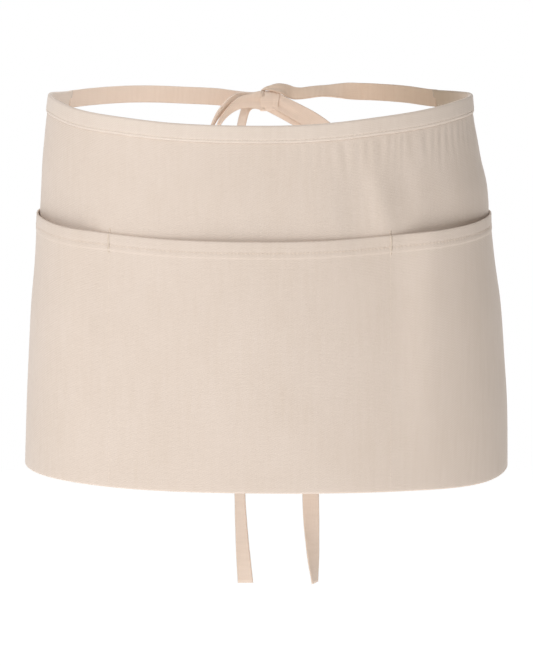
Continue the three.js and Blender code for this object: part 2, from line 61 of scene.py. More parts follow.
def length(name, description, millimetres):
    return FloatProperty(name=name, description=description, default=millimetres * MM,
                         subtype="DISTANCE", unit="LENGTH", precision=4)


def colour(name, description, code):
    return FloatVectorProperty(name=name, description=description, default=linear(code),
                               subtype="COLOR", min=0, max=1)


# Sizes and colours that a user would change

class ApronCut(bpy.types.PropertyGroup):
    width: length("Panel width", "Panel laid flat, side edge to side edge", 610)
    shift: length("Panel shift", "Middle of the panel, to the right of the front line", 8)
    long: length("Length", "Top of the binding to the hem at the front", 300)
    waist_half_width: length("Waist half width", "Half the waist ring, side to side", 176)
    waist_half_depth: length("Waist half depth", "Half the waist ring, front to back", 118)
    waist_dip: length("Waist dip", "How far the top edge drops at the front", 16)
    hem_sweep: length("Hem sweep", "How far the hem rises at its sides", 8)
    squareness: FloatProperty(name="Squareness", description="2 is an ellipse, more is boxier",
                              default=2.15, min=1.5, max=4)
    cloth_wall: length("Cloth wall", "Wall that the cloth fills in the solid model", 1.2)
    cloth: length("Cloth thickness", "Thickness of one layer of twill", 0.8)
    binding_wall: length("Binding wall", "Thickness of the binding's tape", 1)
    clearance: length("Clearance", "Between pieces that touch", 0.3)
    pocket_depth: length("Pocket depth", "Mouth to hem", 205)
    pocket_hem: length("Pocket hem", "Double hem at the mouth", 12.5)
    pocket_hem_wall: length("Pocket hem wall", "Thickness of the double hem", 1.8)
    pocket_turn_up: length("Pocket turn-up", "Pocket cloth turned up behind the hem", 14)
    left_divider: length("Left divider", "Round the front, from the front line", -131)
    right_divider: length("Right divider", "Round the front, from the front line", 105)
    gather_pitch: length("Gather pitch", "Pucker to pucker under the binding", 9)
    gather_depth: length("Gather depth", "Height of a pucker", 0.4)
    pocket_bulge: length("Pocket bulge", "How far the pockets' mouths stand open", 7)
    side_bulge_peak: length("Side bulge peak", "From a divider to its side pocket's widest place", 38)
    left_bulge_end: length("Left bulge end", "From the divider to where the pocket lies flat", 129)
    right_bulge_end: length("Right bulge end", "From the divider to where the pocket lies flat", 144)


class TieSizes(bpy.types.PropertyGroup):
    width: length("Tape width", "Width of the tie tape and the binding", 14.5)
    wall: length("Tape thickness", "Tie tape, folded double and stitched", 2)
    loop: length("Loop length", "Bow loops, from the knot to their tips", 78)
    drop: length("Tie end drop", "Free ends of the ties, from the knot down", 418.6)
    knot_length: length("Knot length", "Across the bow", 17.8)
    knot_height: length("Knot height", "Up and down", 17.5)


class StitchSizes(bpy.types.PropertyGroup):
    pitch: length("Stitch pitch", "From one stitch to the next", 3.2)
    stitch: length("Stitch length", "Thread that shows of one stitch", 2.6)
    thread: length("Thread", "Thickness of the sewing thread", 0.4)


class ApronColours(bpy.types.PropertyGroup):
    twill: colour("Twill", "Undyed cotton twill", "#e8d8cb")
    twill_shade: colour("Twill shade", "Its darker threads", "#e1d0c1")
    binding: colour("Binding", "Undyed cotton, cut on the cross", "#ecddd0")
    binding_shade: colour("Binding shade", "Its darker threads", "#e4d4c6")
    tape: colour("Tape", "Undyed cotton tape", "#f5e1d1")
    tape_shade: colour("Tape shade", "Its darker threads", "#ecd7c5")
    # Painted shade: a darker, browner copy of the tape colours, which shades the right tie
    wrong_side: colour("Wrong side", "The tape's other face, browner", "#ebd5c1")
    wrong_side_shade: colour("Wrong side shade", "Its darker threads", "#e1c7b1")
    thread: colour("Thread", "Sewing thread", "#f6e5d4")


class StageSizes(bpy.types.PropertyGroup):
    distance: FloatProperty(name="Camera distance", description="From the camera to the apron's middle",
                            default=4.5, min=0.5, unit="LENGTH")
    elevation: FloatProperty(name="Elevation", description="Camera above the horizon",
                             default=math.radians(6), subtype="ANGLE", unit="ROTATION")
    pixel: length("Pixel", "Size of one pixel at the apron's middle", 0.84)
    aim_right: length("Aim right", "Point aimed at, right of the front line", 2.1)
    aim_down: length("Aim down", "Point aimed at, below the waist", 198.4)
    picture_height: IntProperty(name="Picture height", description="In pixels", default=666, min=16)


# Tables of the apron's form, in shares of named sizes

# Share of the length, left and right halves of the width, front of the depth
OUTLINE = (
    (0, 1.015, 0.982, 1.01), (0.07, 1.032, 0.994, 1.018), (0.125, 1.042, 1.013, 1.028),
    (0.18, 1.051, 1.032, 1.04), (0.235, 1.056, 1.056, 1.052), (0.29, 1.061, 1.066, 1.064),
    (0.35, 1.067, 1.069, 1.076), (0.45, 1.078, 1.088, 1.096), (0.56, 1.097, 1.116, 1.12),
    (0.7, 1.111, 1.135, 1.144), (0.83, 1.122, 1.15, 1.162), (1, 1.132, 1.154, 1.175),
)
# Degrees from the front, share of the dip
WAIST = (
    (-180, -0.25), (-174, -0.13), (-168, 0.03), (-160, 0.12), (-150, 0.22), (-140, 0.25),
    (-126, 0.2), (-112, 0.14), (-90, 0.22), (-75, 0.06), (-57, -0.37), (-40, -0.64),
    (-21, -0.91), (0, -1), (14, -0.91), (32, -0.6), (46, -0.36), (56, -0.17), (69, 0.05),
    (90, 0.19), (112, 0.15), (126, 0.14), (138, 0.27), (150, 0.34), (158, 0.33), (180, 0.2),
)
# Degrees from the front, share of the sweep
HEM = (
    (-140, 1.3), (-90, 0.95), (-60, 0.5), (-30, 0.14), (0, 0), (30, -0.1), (60, -0.12),
    (90, 0.7), (140, 1.2),
)
# Place across, first and last share of the length, half width, depth, lean
FOLDS = (
    (0.25, 0.04, 0.42, 0.5, 0.1, 0.09),
    (0.35, 0.06, 0.32, 0.55, -0.08, 0.03),
    (0.21, 0.06, 0.44, 0.75, -0.1, 0.03),
    (0.16, 0.08, 0.4, 1.3, 0.07, -0.12),
    (0.52, 0.1, 0.36, 1.1, 0.06, 0.05),
    (-0.47, 0.22, 0.34, 0.5, 0.05, 0.0),
    (-0.1, 0.06, 0.3, 2.2, 0.05, -0.06),
)
# Share of half the panel's width, share of the gathers' depth
GATHERS = ((-1, 0.1), (-0.2, 0.1), (0.05, 0.35), (0.18, 1), (0.7, 1), (0.85, 0.5), (1, 0.3))


def from_table(table, column, at):
    """Value of a table's column, smoothly between its rows."""
    last = len(table) - 1
    i = 0
    while i < last - 1 and at > table[i + 1][0]:
        i += 1
    a, b = table[i], table[i + 1]
    span = b[0] - a[0]
    t = min(max((at - a[0]) / span, 0), 1)
    before, after = table[max(i - 1, 0)], table[min(i + 2, last)]
    slope_a = (b[column] - before[column]) / (b[0] - before[0]) * span
    slope_b = (after[column] - a[column]) / (after[0] - a[0]) * span
    t2, t3 = t * t, t * t * t
    return ((2 * t3 - 3 * t2 + 1) * a[column] + (t3 - 2 * t2 + t) * slope_a
            + (3 * t2 - 2 * t3) * b[column] + (t3 - t2) * slope_b)


def bump(t):
    return 0 if abs(t) >= 1 else math.cos(math.pi / 2 * t) ** 2


def ramp(value, start, end):
    t = min(max((value - start) / (end - start), 0), 1)
    return t * t * (3 - 2 * t)


def mix(a, b, t):
    return a + (b - a) * t


class Form:
    """The apron's surfaces, worked out as in the solid model, with flatter gathers and pockets."""

    PROBE = 0.5 * MM
    REACH = 150

    def __init__(self, scene):
        cut, tie = scene.apron_cut, scene.apron_ties
        for name in ApronCut.__annotations__:
            setattr(self, name, getattr(cut, name))
        self.tape, self.tape_wall = tie.width, tie.wall
        self.loop, self.drop = tie.loop, tie.drop
        self.knot_length, self.knot_height = tie.knot_length, tie.knot_height
        self.half = self.width / 2
        self.left, self.right = self.shift - self.half, self.shift + self.half
        self.binding = self.tape / self.long
        self.mouth = 1 - self.pocket_depth / self.long
        self.binding_radius = self.cloth_wall / 2 + self.clearance + self.binding_wall / 2
        self.hem_radius = self.cloth_wall + self.clearance
        self.top = (self.binding_radius + self.binding_wall / 2) / self.long
        self.end = 1 - (self.hem_radius + self.cloth_wall / 2) / self.long
        left, right = self.left_divider, self.right_divider
        self.pockets = (
            (left - self.left_bulge_end, left - self.side_bulge_peak, left, 1),
            (left, (left + right) / 2, right, 0.5),
            (right, right + self.side_bulge_peak, right + self.right_bulge_end, 1),
        )
        self.levels = {}
        self.layer = self.tape_wall + 2 * self.clearance
        self.ring_back = self.outline(math.pi, 0)[1]
        self.knot = Vector((5.4 * MM, self.ring_back, -0.74 * self.tape))
        self.knot_depth = 5 * self.layer

    def level(self, down):
        """Half widths, half depth, and length of cloth round the outline to each degree of turn."""
        key = round(down, 6)
        if key not in self.levels:
            sizes = (self.waist_half_width * from_table(OUTLINE, 1, down),
                     self.waist_half_width * from_table(OUTLINE, 2, down),
                     self.waist_half_depth * from_table(OUTLINE, 3, down))
            arcs = [0.0] * (2 * self.REACH + 1)
            for way in (-1, 1):
                previous = self.ring_point(0, sizes)
                for degree in range(1, self.REACH + 1):
                    point = self.ring_point(math.radians(way * degree), sizes)
                    here = self.REACH + way * degree
                    arcs[here] = arcs[here - way] + way * math.dist(point, previous)
                    previous = point
            self.levels[key] = (sizes, arcs)
        return self.levels[key]

    def ring_point(self, turn, sizes):
        left, right, front = sizes
        power = 2 / self.squareness
        s, c = math.sin(turn), math.cos(turn)
        side = left if turn < 0 else right
        return (side * math.copysign(abs(s) ** power, s), -front * math.copysign(abs(c) ** power, c))

    def outline(self, turn, down):
        return self.ring_point(turn, self.level(down)[0])

    def turn_at(self, arc, down):
        arcs = self.level(down)[1]
        i = min(max(bisect_right(arcs, arc) - 1, 0), len(arcs) - 2)
        share = (arc - arcs[i]) / (arcs[i + 1] - arcs[i])
        return math.radians(i + share - self.REACH)

    def waist_height(self, turn):
        return self.waist_dip * from_table(WAIST, 1, math.degrees(turn))

    def hem_height(self, turn):
        rise = self.hem_sweep * from_table(HEM, 1, math.degrees(turn))
        return self.waist_height(0) - self.long + rise

    def body(self, arc, down):
        """Point of the smooth body under the cloth."""
        turn = self.turn_at(arc, down)
        x, y = self.outline(turn, down)
        return Vector((x, y, mix(self.waist_height(turn), self.hem_height(turn), down)))

    def outward(self, surface, arc, down):
        share = self.PROBE / self.long
        right = surface(arc + self.PROBE, down) - surface(arc - self.PROBE, down)
        below = surface(arc, down + share) - surface(arc, down - share)
        return below.cross(right).normalized()

    def gather(self, arc, down):
        """Puckers that the binding's seam puts into the cloth below it, no two alike."""
        across = (arc - self.shift) / self.half
        pitch = self.gather_pitch
        each = 0.7 + 1.1 * noise.noise(Vector((arc / (1.3 * pitch), 4, 0)))
        below = (down - self.binding) * self.long
        drift = 1.1 * noise.noise(Vector((arc / (2.5 * pitch), 9, below / (6 * pitch))))
        strength = self.gather_depth * from_table(GATHERS, 1, across) * max(each, 0.1)
        run = pitch * (4 + 3 * noise.noise(Vector((arc / pitch, 2, 0))))
        fade = ramp(below, 0, 0.6 * pitch) * (1 - ramp(below, 0.2 * run, run))
        return strength * fade * math.cos(2 * math.pi * (arc / pitch + drift))

    def fold(self, arc, down):
        rise = self.gather(arc, down)
        for across, start, end, wide, deep, lean in FOLDS:
            along = (down - start) / (end - start)
            if not 0 < along < 1:
                continue
            middle = self.shift + (across + lean * along) * self.half
            width = wide * self.tape
            rise += deep * self.tape * bump(2 * along - 1) * bump((arc - middle) / (2 * width))
        return rise

    def cloth_at(self, arc, down, stand=0):
        """Point of the cloth, standing off the body by its folds and by a further distance."""
        lift = self.fold(arc, down) + stand
        return self.body(arc, down) + lift * self.outward(self.body, arc, down)

    def pocket_stand(self, arc, down):
        """How far the pocket's cloth stands off the panel."""
        seat = self.cloth_wall / 2 + self.clearance + self.pocket_hem_wall / 2
        depth = min(max((down - self.mouth) / (self.end - self.mouth), 0), 1)
        bulge = 0
        for start, peak, end, wide in self.pockets:
            if start < arc < end:
                share = (arc - start) / (peak - start) if arc < peak else (end - arc) / (end - peak)
                bulge = wide * self.pocket_bulge * math.sin(math.pi / 2 * share) ** 2
        return mix(seat, self.hem_radius, ramp(depth, 0, 1)) + bulge * (1 - depth ** 1.5)

    def waist_station(self, turn):
        x, y = self.outline(turn, 0)
        return Vector((x, y, self.waist_height(turn) - self.tape / 2)), UP, 1

    def knot_face(self, side):
        return self.knot + Vector((side * (self.knot_length / 2 + self.clearance), 0, 0))


# Meshes

def finish_piece(name, bm, material, wall=0, node=None):
    """A named object from a bmesh, smooth, with its wall, riding on the one body."""
    mesh = bpy.data.meshes.new(name)
    bm.to_mesh(mesh)
    bm.free()
    mesh.shade_smooth()
    mesh.materials.append(material)
    piece = bpy.data.objects.new(name, mesh)
    bpy.context.collection.objects.link(piece)
    if wall:
        solidify = piece.modifiers.new("Wall", "SOLIDIFY")
        solidify.thickness = wall
        solidify.offset = 0
    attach(piece, "root")
    if node:
        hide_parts(*node)
    return piece


def grid(columns, rows, place):
    """A bmesh grid whose points are moved to place(column, row), which gives a point and its UV."""
    bm = bmesh.new()
    bmesh.ops.create_grid(bm, x_segments=columns, y_segments=rows, size=0.5, calc_uvs=True)
    uv = bm.loops.layers.uv.verify()
    found = {}
    for vert in bm.verts:
        s, t = vert.co.x + 0.5, 0.5 - vert.co.y
        vert.co, found[vert] = place(s, t)
    for face in bm.faces:
        for loop in face.loops:
            loop[uv].uv = found[loop.vert]
    return bm


def add(tree, kind, links=(), **settings):
    """One shader node, its settings and the links into it."""
    node = tree.nodes.new(kind)
    for key, value in settings.items():
        if key.startswith("in_"):
            name = key[3:]
            socket = node.inputs[int(name)] if name.isdigit() else node.inputs[name.replace("_", " ")]
            socket.default_value = value
        else:
            setattr(node, key, value)
    for source, target in links:
        tree.links.new(source, node.inputs[target])
    return node


# Materials

def new_material(name):
    """A material with an empty tree, its shader and its output."""
    material = bpy.data.materials.new(name)
    material.use_nodes = True
    tree = material.node_tree
    tree.nodes.clear()
    shader = add(tree, "ShaderNodeBsdfPrincipled")
    add(tree, "ShaderNodeOutputMaterial", [(shader.outputs[0], "Surface")])
    return material, tree, shader


def woven(name, light, shade, pitch_across, pitch_along, slant, relief, painted_shade=None):
    """Undyed cotton, woven, unbleached and washed soft: matt, with faint slubs and darker threads.

    The UV map holds metres along the cloth, so each pitch is a real thread spacing. Cloth may be
    given painted shade along it: darkest at the first place along it, where it gives back the
    painted tone's share of red, green and blue, and none at the second."""
    material, tree, shader = new_material(name)
    place = add(tree, "ShaderNodeUVMap")
    uv = place.outputs[0]
    turned = add(tree, "ShaderNodeMapping", [(uv, "Vector")], in_Rotation=(0, 0, math.radians(slant)))
    ribs = add(tree, "ShaderNodeTexWave", [(turned.outputs[0], "Vector")], bands_direction="X",
               in_Scale=wave_scale(pitch_across), in_Distortion=1.2, in_Detail=2, in_Detail_Scale=1.5)
    threads = add(tree, "ShaderNodeTexWave", [(uv, "Vector")], bands_direction="Y",
                  in_Scale=wave_scale(pitch_along), in_Distortion=1.5, in_Detail=2, in_Detail_Scale=1.5)
    # Slubs are thick places in the yarn, long one way: 4 mm by 40 mm
    stretched = add(tree, "ShaderNodeMapping", [(uv, "Vector")], in_Scale=(250, 25, 1))
    slubs = add(tree, "ShaderNodeTexNoise", [(stretched.outputs[0], "Vector")], in_Scale=1,
                in_Detail=4, in_Roughness=0.6)
    # Washing leaves broad patches a hand's width across
    patches = add(tree, "ShaderNodeTexNoise", [(uv, "Vector")], in_Scale=14, in_Detail=3)
    blend = add(tree, "ShaderNodeMath", [(slubs.outputs["Fac"], 0), (patches.outputs["Fac"], 1)],
                operation="MULTIPLY")
    spread = add(tree, "ShaderNodeMapRange", [(blend.outputs[0], "Value")], in_From_Min=0.12,
                 in_From_Max=0.42, in_To_Min=0.15, in_To_Max=0.85)
    tint = add(tree, "ShaderNodeMix", [(spread.outputs[0], 0)], data_type="RGBA")
    tint.inputs[6].default_value = (*light, 1)
    tint.inputs[7].default_value = (*shade, 1)
    weft = add(tree, "ShaderNodeMapRange", [(ribs.outputs["Fac"], "Value")], in_To_Min=0.96, in_To_Max=1)
    cloth = add(tree, "ShaderNodeMix", [(tint.outputs[2], 6), (weft.outputs[0], 7)],
                data_type="RGBA", blend_type="MULTIPLY")
    cloth.inputs[0].default_value = 1
    # Painted shade: the cloth is darkened towards the first place along it, standing in for shade that falls
    # there
    if painted_shade:
        along = add(tree, "ShaderNodeSeparateXYZ", [(uv, 0)])
        start, end, painted_tone = painted_shade
        shade_mask = add(tree, "ShaderNodeMapRange", [(along.outputs[0], "Value")], in_From_Min=end,
                   in_From_Max=start, interpolation_type="SMOOTHSTEP")
        cloth = add(tree, "ShaderNodeMix", [(shade_mask.outputs[0], 0), (cloth.outputs[2], 6)],
                    data_type="RGBA", blend_type="MULTIPLY")
        cloth.inputs[7].default_value = (*painted_tone, 1)
    tree.links.new(cloth.outputs[2], shader.inputs["Base Color"])
    woven_height = add(tree, "ShaderNodeMath", [(ribs.outputs["Fac"], 0), (threads.outputs["Fac"], 1)],
                       operation="ADD")
    height = add(tree, "ShaderNodeMath", [(woven_height.outputs[0], 0), (slubs.outputs["Fac"], 1)],
                 operation="ADD")
    relief_node = add(tree, "ShaderNodeBump", [(height.outputs[0], "Height")], in_Strength=0.5,
                      in_Distance=relief)
    tree.links.new(relief_node.outputs[0], shader.inputs["Normal"])
    rough = add(tree, "ShaderNodeMapRange", [(slubs.outputs["Fac"], "Value")], in_To_Min=0.82,
                in_To_Max=0.95)
    tree.links.new(rough.outputs[0], shader.inputs["Roughness"])
    shader.inputs["IOR"].default_value = 1.46
    shader.inputs["Sheen Weight"].default_value = 0.18
    shader.inputs["Sheen Roughness"].default_value = 0.5
    return material


def wave_scale(pitch):
    """Scale of a Wave texture whose bands are a pitch apart."""
    return 2 * math.pi / (20 * pitch)


def named(name, make):
    return bpy.data.materials.get(name) or make()


def twill_material(scene):
    # Twill threads are 0.5 mm apart, drawn at 1.6 mm so that the diagonal shows
    c = scene.apron_colours
    return named("washed_twill", lambda: woven("washed_twill", c.twill, c.twill_shade, 1.6 * MM,
                                               1.2 * MM, 63, 0.1 * MM))


def binding_material(scene):
    # Plain weave cut on the cross, its threads 0.6 mm apart, drawn at 1.4 mm
    c = scene.apron_colours
    right = scene.apron_cut.shift + scene.apron_cut.width / 2
    # Painted shade: the binding's last 125 mm at the right end is darkened and browned, darkest 5 mm from
    # its end
    painted_shade = (right - 5 * MM, right - 125 * MM, (0.53, 0.49, 0.42))
    return named("cross_cut_binding", lambda: woven("cross_cut_binding", c.binding, c.binding_shade,
                                                    1.4 * MM, 1.4 * MM, 45, 0.08 * MM, painted_shade))


def tape_material(scene):
    # Tape has ribs across it every 1.2 mm
    c = scene.apron_colours
    return named("ribbed_tape", lambda: woven("ribbed_tape", c.tape, c.tape_shade, 1.2 * MM,
                                              1.5 * MM, 0, 0.08 * MM))


def shaded_tape_material(scene):
    # The same tape, darker and browner, as painted shade on the right tie, with more painted shade darkening
    # its first 100 mm next to the binding
    c = scene.apron_colours
    painted_shade = (0, 100 * MM, (0.66, 0.65, 0.62))
    return named("tape_wrong_side", lambda: woven("tape_wrong_side", c.wrong_side, c.wrong_side_shade,
                                                  1.2 * MM, 1.5 * MM, 0, 0.08 * MM, painted_shade))


def thread_material(scene):
    """Spun sewing thread: two plies twisted, a little glossier than the cloth."""
    def make():
        material, tree, shader = new_material("spun_thread")
        place = add(tree, "ShaderNodeTexCoord")
        plies = add(tree, "ShaderNodeTexNoise", [(place.outputs["Object"], "Vector")],
                    in_Scale=900, in_Detail=2)
        shade = add(tree, "ShaderNodeValToRGB", [(plies.outputs["Fac"], "Fac")])
        thread = scene.apron_colours.thread
        shade.color_ramp.elements[0].color = (*[v * 0.88 for v in thread], 1)
        shade.color_ramp.elements[1].color = (*thread, 1)
        tree.links.new(shade.outputs[0], shader.inputs["Base Color"])
        twist = add(tree, "ShaderNodeBump", [(plies.outputs["Fac"], "Height")], in_Strength=0.4,
                    in_Distance=0.1 * MM)
        tree.links.new(twist.outputs[0], shader.inputs["Normal"])
        shader.inputs["Roughness"].default_value = 0.6
        shader.inputs["IOR"].default_value = 1.5
        return material
    return named("spun_thread", make)


# Cloth

def cloth_grid(form, columns, path):
    """Grid across the panel whose rows follow a path of (length down, stand off) steps.

    A stand may also be worked out by a function of the place across and the length down."""
    shortest = 0.4 * MM  # least length of cloth from row to row
    walked = [0.0]
    for (down, _), (after, _) in zip(path, path[1:]):
        walked.append(walked[-1] - max(abs(after - down) * form.long, shortest))

    def place(s, t):
        arc = mix(form.left, form.right, s)
        row = round(t * (len(path) - 1))
        down, stand = path[row]
        stand = stand(arc, down) if callable(stand) else stand
        return form.cloth_at(arc, down, stand), (arc, walked[row])

    return grid(columns, len(path) - 1, place)


def steps(start, end, count):
    return [mix(start, end, i / count) for i in range(count + 1)]


def curl(middle, radius, long, start, end, count):
    """Path steps round an edge: (length down, stand off) on a half circle."""
    out = []
    for angle in steps(start, end, count):
        a = math.radians(angle)
        out.append((middle - radius * math.sin(a) / long, radius * math.cos(a)))
    return out


def build_panel(scene):
    form = Form(scene)
    path = [(down, 0) for down in steps(form.top, form.end, 140)]
    bm = cloth_grid(form, 340, path)
    panel = finish_piece("panel", bm, twill_material(scene), form.cloth, node=["apron_panel"])


POCKET_SEAM = 3.5 * MM  # the hem's topstitching, above the hem's lower edge
PULLED_WIDTH, PULLED_DEPTH = 2.6 * MM, 0.5 * MM  # of the dent that the topstitching pulls


def build_pocket(scene):
    form, stitches = Form(scene), scene.apron_stitches
    half_layer = form.cloth / 2 + 0.05 * MM
    hem = form.mouth + form.pocket_hem / form.long
    lip = form.mouth + half_layer / form.long
    seam = hem - POCKET_SEAM / form.long

    def stand_at(offset, pulled=1):
        """Stand of a layer that the topstitching pulls in, stitch by stitch."""
        def stand(arc, down):
            near = bump((down - seam) * form.long / PULLED_WIDTH)
            pucker = 0.55 + 0.45 * math.cos(2 * math.pi * (arc - form.left) / stitches.pitch)
            return form.pocket_stand(arc, down) + offset - pulled * PULLED_DEPTH * near * pucker
        return stand

    path = [(down, stand_at(-half_layer, 0)) for down in steps(hem, lip, 4)]
    for angle in (45, 90, 135):
        a = math.radians(angle)
        path.append((lip - half_layer * math.sin(a) / form.long,
                     stand_at(-half_layer * math.cos(a), 0)))
    path += [(down, stand_at(half_layer)) for down in steps(lip, seam - PULLED_WIDTH / form.long, 4)]
    path += [(seam + step * MM / form.long, stand_at(half_layer)) for step in (-1.7, -0.9, 0, 0.9, 1.7)]
    path += [(hem + step * MM / form.long, stand_at(half_layer * (1 - share)))
             for step, share in ((0, 0), (0.4, 0.2), (0.8, 0.6), (1.2, 0.9), (1.6, 1))]
    path += [(down, stand_at(0)) for down in steps(hem + 3.5 * MM / form.long, form.end, 32)]
    path += curl(form.end, -form.hem_radius, form.long, 180, 0, 8)[1:-1]
    turned = form.end - form.pocket_turn_up / form.long
    path += [(down, -form.hem_radius) for down in steps(form.end, turned, 3)]
    bm = cloth_grid(form, 700, path)
    pocket = finish_piece("pocket", bm, twill_material(scene), form.cloth, node=["pocket_panel"])


# Millimetres above the binding's lower edge, and how far its stitching pulls it in there
BINDING_EDGE = ((3.2, 0), (2.8, 0.12), (2.4, 0.4), (2, 0.16), (1.3, 0.1), (0.6, 0.32), (0, 0.7))
BINDING_SEAM, BINDING_DENT = (value * MM for value in BINDING_EDGE[2])


def build_binding(scene):
    form = Form(scene)
    radius, wall = form.binding_radius, 0.7 * form.binding_wall
    edge = [(form.binding - up * MM / form.long, radius - pulled * MM) for up, pulled in BINDING_EDGE]
    middle = [(down, radius) for down in steps(form.top, edge[0][0], 8)[:-1]]

    def hugged(stand):
        """The binding's ends close on the ties that come out of them."""
        return lambda arc, down: stand * mix(0.7, 1, ramp(min(arc - form.left, form.right - arc), 0, 9 * MM))

    outside = [*middle, *edge]
    path = [(down, -stand) for down, stand in reversed(outside)]
    path += curl(form.top, radius, form.long, 180, 0, 8)[1:-1]
    path += outside
    bm = cloth_grid(form, 340, [(down, hugged(stand)) for down, stand in path])
    return finish_piece("binding", bm, binding_material(scene), wall,
                        node=["waist_binding"])


# Tape

def centripetal(points, t):
    """Point of a smooth curve through the points, as the solid model draws it."""
    last = len(points) - 1
    i = min(int(t * last), last - 1)
    w = t * last - i
    x1, x2 = points[i], points[i + 1]
    x0 = points[i - 1] if i > 0 else 2 * x1 - x2
    x3 = points[i + 2] if i + 2 <= last else 2 * x2 - x1
    d0, d1, d2 = ((b - a).length ** 0.5 or 1 for a, b in ((x0, x1), (x1, x2), (x2, x3)))
    t1 = ((x1 - x0) / d0 - (x2 - x0) / (d0 + d1) + (x2 - x1) / d1) * d1
    t2 = ((x2 - x1) / d1 - (x3 - x1) / (d1 + d2) + (x3 - x2) / d2) * d1
    w2, w3 = w * w, w * w * w
    return (2 * w3 - 3 * w2 + 1) * x1 + (w3 - 2 * w2 + w) * t1 + (3 * w2 - 2 * w3) * x2 + (w3 - w2) * t2


def stations_through(rows, count):
    """Stations of a smooth curve through rows of (middle, direction across, share of the width)."""
    middles = [Vector(row[0]) for row in rows]
    acrosses = [Vector(row[1]) for row in rows]
    widths = [(i, row[2]) for i, row in enumerate(rows)]
    return [(centripetal(middles, i / count), centripetal(acrosses, i / count).normalized(),
             from_table(widths, 1, i / count * (len(rows) - 1))) for i in range(count + 1)]


def from_knot(form, side, stations, tuck):
    """Stations that start inside the knot, a tuck's length before its face."""
    face = form.knot_face(side).x
    clear = next(i for i, station in enumerate(stations)
                 if side * (station[0].x - face) > form.tape / 3)
    rest = stations[max(clear, 1):]
    start, across, wide = stations[0]
    along = rest[0][0] - start
    root = start + along * ((face - start.x) / along.x)
    return [(root - along.normalized() * tuck, across, wide), (root, across, wide), *rest]


CREASE = 0.55 * MM  # height of the creases that the knot squeezes into a tape


def tape_piece(scene, form, name, stations, node, ripple=0.0, seed=0, creased=(), cloth=tape_material):
    """Flat tape along stations of (middle, direction across, share of the width).

    It has soft ripples, and creases that run along it from each end that is named as creased."""
    columns = 14
    last = len(stations) - 1
    frames = []
    walked = 0.0
    for i, station in enumerate(stations):
        middle, across, wide = station
        before, after = stations[max(i - 1, 0)][0], stations[min(i + 1, last)][0]
        along = (after - before).normalized()
        side = (across - across.dot(along) * along).normalized()
        normal = along.cross(side)
        if i:
            walked += (middle - stations[i - 1][0]).length
        frames.append((middle, side * wide, normal, walked))

    def place(s, t):
        middle, side, normal, run = frames[round((1 - t) * last)]
        across = (s - 0.5) * form.tape
        lift = ripple * noise.noise(Vector((run / (16 * MM), s * 1.5, seed)))
        for end in creased:
            near = 1 - ramp(abs(run - end * walked), 0.3 * form.tape, 2.2 * form.tape)
            lift += CREASE * near * math.sin(2 * math.pi * (1.6 * s + 0.3 * seed))
        return middle + side * across + normal * lift, (run, across)

    bm = grid(columns, last, place)
    bmesh.ops.reverse_faces(bm, faces=bm.faces)
    return finish_piece(name, bm, cloth(scene), form.tape_wall * 0.65,
                        node=[node])


TIE_LAP = 4 * MM  # each tie starts this far inside the binding's fold


def left_tie(scene, form):
    start = form.turn_at(form.left + TIE_LAP, 0)
    straight = form.tape / 2
    face = form.knot_face(-1).x
    end = -math.pi + math.asin((straight - face) / form.waist_half_width)
    stations = [form.waist_station(turn) for turn in steps(start, end, 90)]
    middle = stations[-1][0]
    stations += [(mix(middle, Vector((face, middle.y, middle.z)), i / 4), UP, 1) for i in range(1, 7)]
    return tape_piece(scene, form, "left_tie", stations, "tie_left", 0.5 * MM, 1)


# Place from the knot in tape widths, direction across, share of the width
RIGHT_TIE_END = (
    (4.1, -0.55, 0.65, (0, 0.65, 0.76), 1), (3.5, -0.4, 0.64, (0, 0.76, 0.65), 1),
    (2.9, -0.26, 0.61, (0, 0.82, 0.57), 1), (2.3, -0.12, 0.52, (0, 0.75, 0.66), 0.92),
    (1.77, -0.03, 0.46, (0, 0.62, 0.78), 0.8), (1.35, 0.02, 0.49, (0, 0.53, 0.85), 0.8),
    (1.03, 0, 0.61, (0, 0.6, 0.8), 0.86), (0.64, -0.06, 0.75, (0, 0.8, 0.6), 0.92),
    (0.34, -0.04, 0.79, (0, 0.84, 0.55), 0.86), (0, 0, 0.77, (0, 0.9, 0.44), 0.7),
    (-0.28, 0.03, 0.72, (0, 0.95, 0.3), 0.5), (-0.5, 0.08, 0.6, (0, 1, 0.1), 0.3),
)


def right_tie(scene, form):
    start = form.turn_at(form.right - TIE_LAP, 0)
    rows = [form.waist_station(turn) for turn in steps(start, math.radians(153), 12)]
    rows += [(form.knot + Vector((x, y, z)) * form.tape, across, wide)
             for x, y, z, across, wide in RIGHT_TIE_END]
    # The right tie is made of the darker copy of the tape, which paints shade on it
    return tape_piece(scene, form, "right_tie", stations_through(rows, 150), "tie_right", 0.6 * MM, 2,
                      creased=(1,), cloth=shaded_tape_material)


# Place from the knot's face in loop lengths and, the middle number, layers towards the back,
# direction across, opening in loop lengths, slip of the back strand in tape widths, share of the width
LEFT_LOOP = (
    (0, -1.6, 0.012, (0, 0, -1), 0, 0, 1.08), (-0.1, -1.85, 0.008, (0, 0, -1), 0, -0.06, 0.82),
    (-0.2, -2.4, -0.005, (0.1, 0.15, -1), 0, -0.2, 0.72),
    (-0.285, -2.9, -0.045, (0.1, 0.5, -0.8), 0, -0.3, 0.66),
    (-0.365, -3.4, -0.105, (0.1, 0.75, -0.55), 0.005, -0.36, 0.68),
    (-0.435, -3.6, -0.185, (0.1, 0.9, -0.35), 0.01, -0.36, 0.8),
    (-0.495, -3.6, -0.3, (0.1, 1, -0.15), 0.03, -0.26, 0.9),
    (-0.53, -3.5, -0.45, (0.1, 1, 0), 0.09, -0.15, 1),
    (-0.54, -3.4, -0.6, (0.1, 1, 0), 0.15, -0.06, 1),
    (-0.53, -3.3, -0.73, (0.1, 1, 0), 0.13, 0, 1), (-0.515, -3.2, -0.83, (0.1, 1, 0), 0, 0, 1),
)
